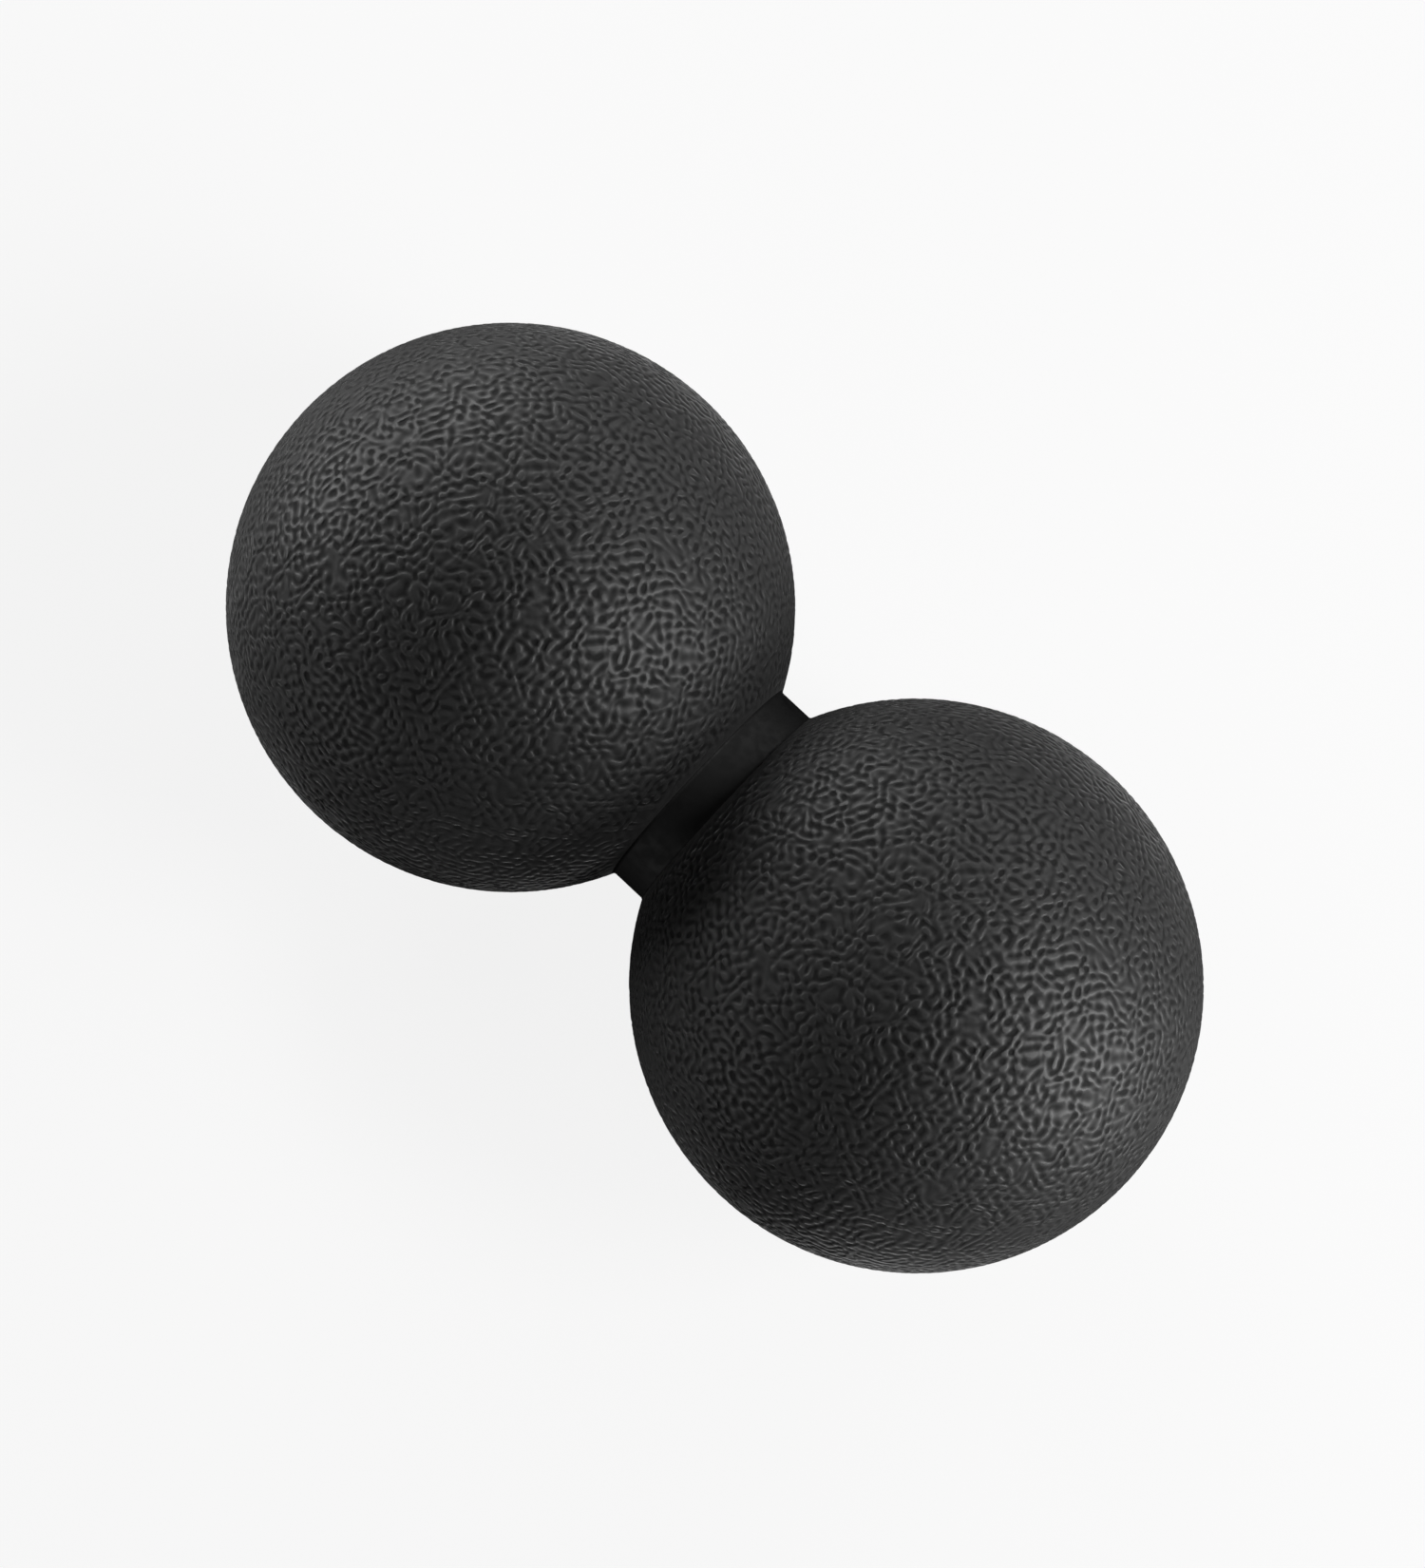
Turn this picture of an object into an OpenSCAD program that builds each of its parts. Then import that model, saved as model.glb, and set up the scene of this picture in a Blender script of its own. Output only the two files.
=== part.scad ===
// Double massage ball: two round balls held in line by a short, smooth neck.
// Millimetres. The origin is the middle of the neck, +X runs along the long axis
// from the left ball to the right ball, and +Z is up when the object lies on a floor.
// Every piece is round about the long axis, so each one is a half section, turned.

/* [Balls] */
// Outside diameter of each ball
ball_d = 63; // [57:1:75]
// Thickness of the rubber cover around each ball
cover_t = 3; // [2.5:0.5:5]

/* [Neck] */
// Diameter of the neck between the balls
neck_d = 27.2; // [22:0.2:28]
// Length of the neck from one ball's surface to the other's
neck_l = 4.2; // [3:0.2:8]

/* [Tie core] */
// Diameter of the stiff rod that runs through the neck
tie_d = 10; // [8:1:14]
// Diameter of the knob on each end of the rod
knob_d = 18; // [16:1:26]

/* [Hidden] */
$fn = 128;

ball_r = ball_d / 2;
core_r = ball_r - cover_t;
neck_r = neck_d / 2;

// A ball's centre lies where its surface cuts the neck at half the neck's length
ball_x = neck_l / 2 + sqrt(pow(ball_r, 2) - pow(neck_r, 2));

// The collar's rims end where a cylinder of the neck's radius meets the foam cores
collar_l = 2 * (ball_x - sqrt(pow(core_r, 2) - pow(neck_r, 2)));

LEFT = -1;
RIGHT = 1;

cover_colour = "#2f2f2f";
collar_colour = "#1f1f1f";
foam_colour = "#6b6b6b";
tie_colour = "#454545";

// Turns a half section about the long axis. In the section, X is the distance from
// the axis and Y is the place along it.
module turned() {
    rotate([0, 90, 0]) rotate_extrude() children();
}

// Section of a sphere around the centre of the ball on one side
module ball_section(side, r) {
    intersection() {
        translate([0, side * ball_x]) circle(r);
        translate([0, side * ball_x - r]) square([r, 2 * r]);
    }
}

// Section of a round bar, centred on the neck
module bar_section(length, r) {
    translate([0, -length / 2]) square([r, length]);
}

// Section of the rod and its two knobs, which sit at the centres of the balls
module tie_section() {
    bar_section(2 * ball_x, tie_d / 2);
    for (side = [LEFT, RIGHT]) ball_section(side, knob_d / 2);
}

// A hollow ball, open where the collar passes through its wall
module ball_cover(side) {
    turned() difference() {
        ball_section(side, ball_r);
        ball_section(side, core_r);
        bar_section(2 * ball_x, neck_r);
    }
}

// A foam ball moulded around one end of the tie core
module foam_core(side) {
    turned() difference() {
        ball_section(side, core_r);
        tie_section();
    }
}

module left_ball_cover() {
    color(cover_colour) ball_cover(LEFT);
}

module right_ball_cover() {
    color(cover_colour) ball_cover(RIGHT);
}

// A short collar whose hollowed ends seat the two foam cores
module neck_collar() {
    color(collar_colour) turned() difference() {
        bar_section(collar_l, neck_r);
        bar_section(collar_l, tie_d / 2);
        for (side = [LEFT, RIGHT]) ball_section(side, core_r);
    }
}

module left_foam_core() {
    color(foam_colour) foam_core(LEFT);
}

module right_foam_core() {
    color(foam_colour) foam_core(RIGHT);
}

module tie_core() {
    color(tie_colour) turned() tie_section();
}

left_ball_cover();
right_ball_cover();
neck_collar();
left_foam_core();
right_foam_core();
tie_core();
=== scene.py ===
import math

import bmesh
import bpy
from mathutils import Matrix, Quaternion, Vector


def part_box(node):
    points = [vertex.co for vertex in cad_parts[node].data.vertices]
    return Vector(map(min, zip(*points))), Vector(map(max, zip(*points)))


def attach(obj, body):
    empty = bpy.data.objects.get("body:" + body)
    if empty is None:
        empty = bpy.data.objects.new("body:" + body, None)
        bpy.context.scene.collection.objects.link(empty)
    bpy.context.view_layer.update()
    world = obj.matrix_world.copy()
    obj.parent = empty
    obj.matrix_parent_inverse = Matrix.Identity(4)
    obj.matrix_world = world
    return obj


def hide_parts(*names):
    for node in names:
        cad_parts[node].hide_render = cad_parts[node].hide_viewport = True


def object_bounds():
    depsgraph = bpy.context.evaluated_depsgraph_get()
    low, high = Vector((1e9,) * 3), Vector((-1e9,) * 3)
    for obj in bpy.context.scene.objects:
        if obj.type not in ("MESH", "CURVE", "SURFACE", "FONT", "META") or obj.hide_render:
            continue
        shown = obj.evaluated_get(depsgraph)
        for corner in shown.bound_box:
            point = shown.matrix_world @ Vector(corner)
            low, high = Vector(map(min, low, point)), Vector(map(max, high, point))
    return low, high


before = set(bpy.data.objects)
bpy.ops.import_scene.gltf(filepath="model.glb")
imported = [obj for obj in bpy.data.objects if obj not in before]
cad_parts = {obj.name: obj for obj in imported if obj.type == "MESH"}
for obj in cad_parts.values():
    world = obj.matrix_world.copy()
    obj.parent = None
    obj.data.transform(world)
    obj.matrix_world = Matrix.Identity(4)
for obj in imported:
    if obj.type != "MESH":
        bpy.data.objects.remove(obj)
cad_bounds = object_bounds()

MM = 0.001
LEFT = -1
RIGHT = 1


# Sizes read from the frame. Every piece is round about the X axis.

def radius_of(node):
    """Largest distance of a CAD node from the long axis."""
    low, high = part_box(node)
    return (high[1] - low[1]) / 2


def bore_of(node):
    """Smallest distance of a CAD node's surface from the long axis."""
    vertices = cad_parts[node].data.vertices
    return min(math.hypot(v.co.y, v.co.z) for v in vertices)


BALL_R = radius_of("right_ball_cover")
CORE_R = radius_of("right_foam_core")
KNOB_R = radius_of("tie_core")
NECK_R = radius_of("neck_collar")
ROD_R = bore_of("neck_collar")
BALL_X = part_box("right_ball_cover")[1][0] - BALL_R
NECK_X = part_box("right_ball_cover")[0][0]
COLLAR_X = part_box("neck_collar")[1][0]
FLOOR_Z = cad_bounds[0][2]

# Angles at a ball's centre, between the long axis and the edge of each opening
COLLAR_ANGLE = math.asin(NECK_R / CORE_R)
BORE_ANGLE = math.asin(ROD_R / CORE_R)
KNOB_ANGLE = math.asin(ROD_R / KNOB_R)

# The grain of the covers. It fades out over the last stretch before the neck.
GRAIN_PITCH = 1.1 * MM
GRAIN_DEPTH = 0.09 * MM
GRAIN_FADE = 1.2 * MM
RIPPLES = 9
GOLDEN_ANGLE = math.pi * (3 - math.sqrt(5))

# The noise that bends the ripples, and the noise that breaks them into patches, in grain
# pitches. A ripple starts where its patch noise passes the first level and is whole from the
# second level on.
BEND_SCALE = 0.35
BEND_AMOUNT = 1.2
PATCH_SCALE = 0.45
PATCH_SHIFT = 7.3
PATCH_LEVELS = (0.4, 0.6)

# The sum of the ripples at the bottom of a crease and at the top of a ridge
CREASE_SUM = -1.5
RIDGE_SUM = 1.2

# The fillet between the collar and each ball, and how far past the neck's end it is tucked in
FILLET = 0.4 * MM
TUCK = 0.3 * MM

# Turned pieces have this many segments, and a point closer than this to the axis lies on it
SEGMENTS = 128
ON_AXIS = 0.0001 * MM
SKIN_SUBDIVISIONS = 8

FLOOR_HALF = 3.0
BACKGROUND_GLOW = 0.85
BOUNCE_GLOW = 0.06

# The camera looks almost straight down and sees the long axis run down to the right.
CAMERA_AZIMUTH = math.radians(43.1)
CAMERA_ELEVATION = math.radians(85.0)
CAMERA_DISTANCE = 0.40
AIM_ABOVE = 1.3 * MM
LENS = 83.1
SENSOR = 36.0
LIGHT_DISTANCE = 0.7


def grey(level):
    return (level, level, level, 1)


class Tree:
    """Short calls that add linked nodes to a shader tree or a geometry tree."""

    def __init__(self, tree):
        self.tree = tree

    def add(self, kind, inputs=None, **settings):
        node = self.tree.nodes.new(kind)
        for name, value in settings.items():
            setattr(node, name, value)
        for name, value in (inputs or {}).items():
            self.feed(node.inputs[name], value)
        return node

    def feed(self, socket, value):
        if isinstance(value, bpy.types.NodeSocket):
            self.tree.links.new(value, socket)
        else:
            socket.default_value = value

    def math(self, operation, first, second=0.0):
        return self.add("ShaderNodeMath", {0: first, 1: second}, operation=operation).outputs[0]

    def vector(self, operation, first, second=(0, 0, 0)):
        return self.add("ShaderNodeVectorMath", {0: first, 1: second}, operation=operation).outputs[0]

    def scaled(self, vector, factor):
        node = self.add("ShaderNodeVectorMath", {0: vector, "Scale": factor}, operation="SCALE")
        return node.outputs[0]

    def dot(self, first, second):
        node = self.add("ShaderNodeVectorMath", {0: first, 1: second}, operation="DOT_PRODUCT")
        return node.outputs["Value"]

    def direction(self, position, centre):
        return self.vector("NORMALIZE", self.vector("SUBTRACT", position, centre))

    def ramp(self, value, low, high, to_low=0.0, to_high=1.0, shape="SMOOTHSTEP"):
        node = self.add(
            "ShaderNodeMapRange",
            {"Value": value, "From Min": low, "From Max": high, "To Min": to_low, "To Max": to_high},
            interpolation_type=shape,
        )
        return node.outputs["Result"]

    def noise(self, vector, scale, detail=0.0):
        """Smooth noise, as one number from 0 to 1. The scale is in waves per unit length."""
        node = self.add("ShaderNodeTexNoise", {"Vector": vector, "Scale": scale, "Detail": detail})
        return node.outputs[0]

    def bent(self, vector, scale, amount):
        """The vector pushed about by smooth noise, by up to about half of amount."""
        noise = self.add("ShaderNodeTexNoise", {"Vector": vector, "Scale": scale, "Detail": 0.0})
        push = self.vector("SUBTRACT", noise.outputs["Color"], (0.5, 0.5, 0.5))
        return self.vector("ADD", vector, self.scaled(push, amount))

    def edge_distance(self, vector, scale):
        """Distance from the nearest wall of a foam of cells."""
        node = self.add(
            "ShaderNodeTexVoronoi", {"Vector": vector, "Scale": scale}, feature="DISTANCE_TO_EDGE"
        )
        return node.outputs["Distance"]

    def mixed(self, factor, first, second):
        """A colour that goes from the first to the second as the factor goes from 0 to 1."""
        node = self.add("ShaderNodeMix", {"Factor": factor, 6: first, 7: second}, data_type="RGBA")
        return node.outputs[2]


# The grain, which the relief and the material share

def ripple_directions():
    """Directions spread evenly over half a sphere."""
    for i in range(RIPPLES):
        z = (i + 0.5) / RIPPLES
        flat = math.sqrt(1 - z * z)
        yield Vector((flat * math.cos(GOLDEN_ANGLE * i), flat * math.sin(GOLDEN_ANGLE * i), z))


def ripple(tree, place, outward, direction, shift):
    """One ripple, from -1 to 1, which comes and goes in patches. It is weak where it would
    run along the surface's normal, because there it only makes blots."""
    wave = tree.math("SINE", tree.math("MULTIPLY", tree.dot(place, direction), math.tau))
    lean = tree.dot(outward, direction)
    level = tree.math("SUBTRACT", 1.0, tree.math("MULTIPLY", lean, lean))
    shifted = tree.vector("ADD", place, (shift, 0, 0))
    patch = tree.ramp(tree.noise(shifted, PATCH_SCALE), *PATCH_LEVELS)
    return tree.math("MULTIPLY", wave, tree.math("MULTIPLY", level, patch))


def grain(tree, position, centre):
    """Adds the grain's nodes and returns its height, from 0 in a crease to 1 on a ridge.
    Ripples in many directions add up to worm-like ridges."""
    outward = tree.direction(position, centre)
    place = tree.bent(tree.scaled(outward, BALL_R / GRAIN_PITCH), BEND_SCALE, BEND_AMOUNT)
    total = 0.0
    for i, direction in enumerate(ripple_directions()):
        total = tree.math("ADD", ripple(tree, place, outward, direction, PATCH_SHIFT * i), total)
    crease = tree.ramp(total, CREASE_SUM, RIDGE_SUM, 1.0, 0.0, shape="LINEAR")
    along = tree.add("ShaderNodeSeparateXYZ", {0: position}).outputs[0]
    from_neck = tree.math("SUBTRACT", tree.math("ABSOLUTE", along), NECK_X)
    fade = tree.ramp(from_neck, 0.0, GRAIN_FADE)
    return tree.math("SUBTRACT", 1.0, tree.math("MULTIPLY", crease, fade))


def relief_group(centre):
    """A geometry node tree that presses the grain's creases into a ball of this centre."""
    group = bpy.data.node_groups.new("grain_relief", "GeometryNodeTree")
    for in_out in ("INPUT", "OUTPUT"):
        group.interface.new_socket("Geometry", in_out=in_out, socket_type="NodeSocketGeometry")
    tree = Tree(group)
    source = tree.add("NodeGroupInput").outputs[0]
    position = tree.add("GeometryNodeInputPosition").outputs[0]
    rise = tree.math("SUBTRACT", grain(tree, position, centre), 1.0)
    offset = tree.scaled(tree.direction(position, centre), tree.math("MULTIPLY", rise, GRAIN_DEPTH))
    moved = tree.add("GeometryNodeSetPosition", {"Geometry": source, "Offset": offset})
    tree.add("NodeGroupOutput", {0: moved.outputs[0]})
    return group


# Meshes

def smooth(mesh):
    for polygon in mesh.polygons:
        polygon.use_smooth = True


def made_object(name, bm):
    """A new smooth object in the scene, made from a finished bmesh."""
    mesh = bpy.data.meshes.new(name)
    bm.to_mesh(mesh)
    bm.free()
    smooth(mesh)
    made = bpy.data.objects.new(name, mesh)
    bpy.context.scene.collection.objects.link(made)
    return made


def apply_group(piece, group):
    """Runs a geometry node tree on the piece and keeps its result as the piece's mesh."""
    modifier = piece.modifiers.new("relief", "NODES")
    modifier.node_group = group
    graph = bpy.context.evaluated_depsgraph_get()
    piece.data = bpy.data.meshes.new_from_object(piece.evaluated_get(graph))
    piece.modifiers.clear()


def ball_skin(name, side):
    """A grained shell around one ball, closed by a wall at the neck and a plain inner face."""
    centre = Vector((side * BALL_X, 0, 0))
    bm = bmesh.new()
    bmesh.ops.create_icosphere(bm, subdivisions=SKIN_SUBDIVISIONS, radius=BALL_R)
    bmesh.ops.translate(bm, verts=bm.verts, vec=centre)
    bmesh.ops.bisect_plane(
        bm,
        geom=bm.verts[:] + bm.edges[:] + bm.faces[:],
        plane_co=(side * NECK_X, 0, 0),
        plane_no=(-side, 0, 0),
        clear_outer=True,
    )
    piece = made_object(name, bm)
    apply_group(piece, relief_group(centre))
    close_inside(piece.data, side)
    return piece


def close_inside(mesh, side, rings=24):
    """Adds the wall of the neck opening and the inner face to an open ball skin."""
    bm = bmesh.new()
    bm.from_mesh(mesh)
    rim = [edge for edge in bm.edges if edge.is_boundary]
    for ring in range(rings):
        angle = COLLAR_ANGLE + (math.pi - COLLAR_ANGLE) * ring / rings
        along = side * (BALL_X - CORE_R * math.cos(angle))
        extruded = bmesh.ops.extrude_edge_only(bm, edges=rim)["geom"]
        rim = [part for part in extruded if isinstance(part, bmesh.types.BMEdge)]
        for vertex in {v for edge in rim for v in edge.verts}:
            scale = CORE_R * math.sin(angle) / math.hypot(vertex.co.y, vertex.co.z)
            vertex.co = (along, vertex.co.y * scale, vertex.co.z * scale)
    last = list({v for edge in rim for v in edge.verts})
    bmesh.ops.pointmerge(bm, verts=last, merge_co=(side * (BALL_X + CORE_R), 0, 0))
    bmesh.ops.recalc_face_normals(bm, faces=bm.faces)
    bm.to_mesh(mesh)
    bm.free()
    smooth(mesh)


def arc(centre_x, radius, start, end, steps):
    """Points (x, distance from the axis) on a circle centred on the axis. Angles from +X."""
    angles = [start + (end - start) * i / steps for i in range(steps + 1)]
    return [(centre_x + radius * math.cos(a), radius * math.sin(a)) for a in angles]


def turned(name, section):
    """A closed piece made by turning a closed half section about the X axis."""
    bm = bmesh.new()
    rings = []
    for x, r in section:
        count = SEGMENTS if r > ON_AXIS else 1
        angles = [math.tau * i / count for i in range(count)]
        rings.append([bm.verts.new((x, r * math.cos(a), r * math.sin(a))) for a in angles])
    for near, far in zip(rings, rings[1:] + rings[:1]):
        if len(near) == 1 and len(far) == 1:
            continue
        for i in range(SEGMENTS):
            j = (i + 1) % SEGMENTS
            corners = [near[i % len(near)], near[j % len(near)], far[j % len(far)], far[i % len(far)]]
            bm.faces.new(list(dict.fromkeys(corners)))
    bmesh.ops.recalc_face_normals(bm, faces=bm.faces)
    return made_object(name, bm)


def fillet_arc(steps=6):
    """Points of the concave fillet, from the collar out to the right ball's surface."""
    x = BALL_X - math.sqrt((BALL_R + FILLET) ** 2 - (NECK_R + FILLET) ** 2)
    end = math.pi / 2 - math.asin((NECK_R + FILLET) / (BALL_R + FILLET))
    angles = [end * i / steps for i in range(steps + 1)]
    return [(x + FILLET * math.sin(a), NECK_R + FILLET * (1 - math.cos(a))) for a in angles]


def neck_ring(name):
    """The smooth collar, with a small fillet against each ball."""
    outer = [(0.0, NECK_R)] + fillet_arc() + [(NECK_X + TUCK, NECK_R), (COLLAR_X, NECK_R)]
    seat = arc(BALL_X, CORE_R, math.pi - COLLAR_ANGLE, math.pi - BORE_ANGLE, 8)
    right = outer + seat[1:]
    left = [(-x, r) for x, r in reversed(right[1:])]
    return turned(name, left + right)


def foam_ball(name, side):
    """A foam ball with the hollow that the tie core fills."""
    outer = arc(0, CORE_R, 0, math.pi - BORE_ANGLE, 48)
    hollow = arc(0, KNOB_R, math.pi - KNOB_ANGLE, 0, 24)
    return turned(name, [(side * (BALL_X + x), r) for x, r in outer + hollow])


# Materials

def material(name):
    """A new material, with its node tree and its shader."""
    made = bpy.data.materials.new(name)
    made.use_nodes = True
    return made, Tree(made.node_tree), made.node_tree.nodes["Principled BSDF"]


def object_position(tree):
    return tree.add("ShaderNodeTexCoord").outputs["Object"]


def finish_surface(tree, shader, colour, roughness, height, strength, depth):
    """Feeds the shader its colour, its roughness and a bump from the height."""
    bump = tree.add("ShaderNodeBump", {"Height": height, "Strength": strength, "Distance": depth})
    tree.feed(shader.inputs["Base Color"], colour)
    tree.feed(shader.inputs["Roughness"], roughness)
    tree.feed(shader.inputs["Normal"], bump.outputs[0])


def cover_rubber(name, side):
    """Dull black rubber, a little glossier on its ridges than in its creases. Its colour is painted
    darker in the creases as shade, so the ridges look lighter.
    """
    made, tree, shader = material(name)
    position = object_position(tree)
    height = grain(tree, position, (side * BALL_X, 0, 0))
    # Painted shade: the colour goes from near black in the creases up to the rubber's own dark grey
    # on the ridges.
    colour = tree.mixed(height, grey(0.0005), grey(0.037))
    roughness = tree.ramp(height, 0.0, 1.0, 0.85, 0.5)
    finish_surface(tree, shader, colour, roughness, height, 1.0, GRAIN_DEPTH)
    shader.inputs["Sheen Weight"].default_value = 0.3
    shader.inputs["Sheen Roughness"].default_value = 0.3
    return made


def collar_rubber():
    """Smooth, very dark rubber with a faint mottle."""
    made, tree, shader = material("collar_rubber")
    position = object_position(tree)
    mottle = tree.noise(position, 900.0, detail=3.0)
    colour = tree.mixed(mottle, grey(0.002), grey(0.004))
    roughness = tree.ramp(mottle, 0.3, 0.7, 0.6, 0.75)
    finish_surface(tree, shader, colour, roughness, mottle, 0.4, 0.02 * MM)
    return made


def core_foam():
    """Grey foam with cells of less than a millimetre."""
    made, tree, shader = material("core_foam")
    position = object_position(tree)
    cells = tree.edge_distance(position, 1400.0)
    colour = tree.mixed(tree.ramp(cells, 0.0, 0.2), grey(0.16), grey(0.09))
    roughness = tree.ramp(cells, 0.0, 0.3, 0.85, 0.95)
    finish_surface(tree, shader, colour, roughness, cells, 0.8, 0.2 * MM)
    return made


def tie_plastic():
    """Hard moulded plastic, a faintly bluish dark grey with a fine mottle."""
    made, tree, shader = material("tie_plastic")
    position = object_position(tree)
    mottle = tree.noise(position, 1500.0, detail=4.0)
    colour = tree.mixed(mottle, (0.045, 0.045, 0.047, 1), (0.075, 0.075, 0.078, 1))
    roughness = tree.ramp(mottle, 0.3, 0.7, 0.4, 0.55)
    finish_surface(tree, shader, colour, roughness, mottle, 0.3, 0.02 * MM)
    return made


# The object. The CAD collar, covers and foam balls are replaced, and the tie core stays.

def stand_in(piece, made, node):
    """Gives a piece its material and puts it in the place of a CAD node."""
    piece.data.materials.append(made)
    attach(piece, "root")
    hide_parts(node)


def build():
    foam = core_foam()
    for side, name in ((LEFT, "left"), (RIGHT, "right")):
        skin = ball_skin(name + "_ball_skin", side)
        rubber = cover_rubber(name + "_cover_rubber", side)
        stand_in(skin, rubber, name + "_ball_cover")
        core = foam_ball(name + "_foam_ball", side)
        stand_in(core, foam, name + "_foam_core")
    stand_in(neck_ring("neck_ring"), collar_rubber(), "neck_collar")
    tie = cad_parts["tie_core"]
    tie.data.materials.clear()
    tie.data.materials.append(tie_plastic())


# The studio. Lengths are in metres and powers in watts.

def ground(name, level, glow):
    """A wide level sheet that the object lies on. It is left out of the object's reflections,
    because a bright sheet would outline the black balls with a pale rim."""
    bm = bmesh.new()
    bmesh.ops.create_grid(bm, x_segments=1, y_segments=1, size=FLOOR_HALF)
    bmesh.ops.translate(bm, verts=bm.verts, vec=(0, 0, FLOOR_Z))
    sheet = made_object(name, bm)
    made, _, shader = material(name)
    shader.inputs["Base Color"].default_value = grey(level)
    shader.inputs["Roughness"].default_value = 0.9
    shader.inputs["Emission Color"].default_value = grey(1.0)
    shader.inputs["Emission Strength"].default_value = glow
    sheet.data.materials.append(made)
    sheet.visible_glossy = False
    return sheet


def floor():
    """The pale floor that the camera sees, and a dim one that lights the undersides."""
    seen = ground("pale_floor", 0.12, BACKGROUND_GLOW)
    seen.visible_diffuse = False
    bounce = ground("bounce_floor", 0.0, BOUNCE_GLOW)
    bounce.visible_camera = False
    bounce.visible_shadow = False


def camera():
    """Adds the camera and returns its rotation."""
    data = bpy.data.cameras.new("camera")
    data.lens = LENS
    data.sensor_width = SENSOR
    made = bpy.data.objects.new("camera", data)
    bpy.context.scene.collection.objects.link(made)
    flat = math.cos(CAMERA_ELEVATION)
    back = Vector((
        math.sin(CAMERA_AZIMUTH) * flat,
        -math.cos(CAMERA_AZIMUTH) * flat,
        math.sin(CAMERA_ELEVATION),
    ))
    turn = (-back).to_track_quat("-Z", "Y")
    up = turn @ Vector((0, 1, 0))
    made.rotation_mode = "QUATERNION"
    made.rotation_quaternion = turn
    made.location = back * CAMERA_DISTANCE + up * AIM_ABOVE
    bpy.context.scene.camera = made
    return turn


def soft_box(name, turn, off_view, round_view, power, wide=0.14, tall=0.34):
    """A soft light aimed at the object. off_view is its angle from the camera's direction, and
    round_view is its angle in the picture, from the right towards the top, both in degrees.
    Its wide side leads away from the camera and its tall side leads around it."""
    aim = turn @ Quaternion((0, 0, 1), math.radians(round_view))
    aim = aim @ Quaternion((0, 1, 0), math.radians(off_view))
    data = bpy.data.lights.new(name, "AREA")
    data.shape = "RECTANGLE"
    data.size = wide
    data.size_y = tall
    data.energy = power
    made = bpy.data.objects.new(name, data)
    made.rotation_mode = "QUATERNION"
    made.rotation_quaternion = aim
    made.location = aim @ Vector((0, 0, LIGHT_DISTANCE))
    made.visible_camera = False
    bpy.context.scene.collection.objects.link(made)


def lights(turn):
    """Soft boxes: one high on the right, and the others low around the object."""
    soft_box("right_box", turn, 44, 357, 1.7, wide=0.10, tall=0.24)
    soft_box("low_right_box", turn, 64, 336, 1.6)
    soft_box("right_rim_box", turn, 82, 330, 2.7)
    soft_box("top_right_box", turn, 74, 54, 0.8)
    soft_box("top_box", turn, 84, 104, 2.3)
    soft_box("back_left_box", turn, 90, 146, 2.2)
    soft_box("left_box", turn, 84, 208, 0.6)


def surround():
    """A plain white surround that only the camera sees, as bright as the far end of the floor."""
    made = bpy.data.worlds.new("studio")
    made.use_nodes = True
    background = made.node_tree.nodes["Background"]
    background.inputs["Color"].default_value = grey(1.0)
    background.inputs["Strength"].default_value = BACKGROUND_GLOW
    bpy.context.scene.world = made
    made.cycles_visibility.diffuse = False
    made.cycles_visibility.glossy = False


build()
floor()
view_turn = camera()
lights(view_turn)
surround()
bpy.context.scene.view_settings.view_transform = "Standard"
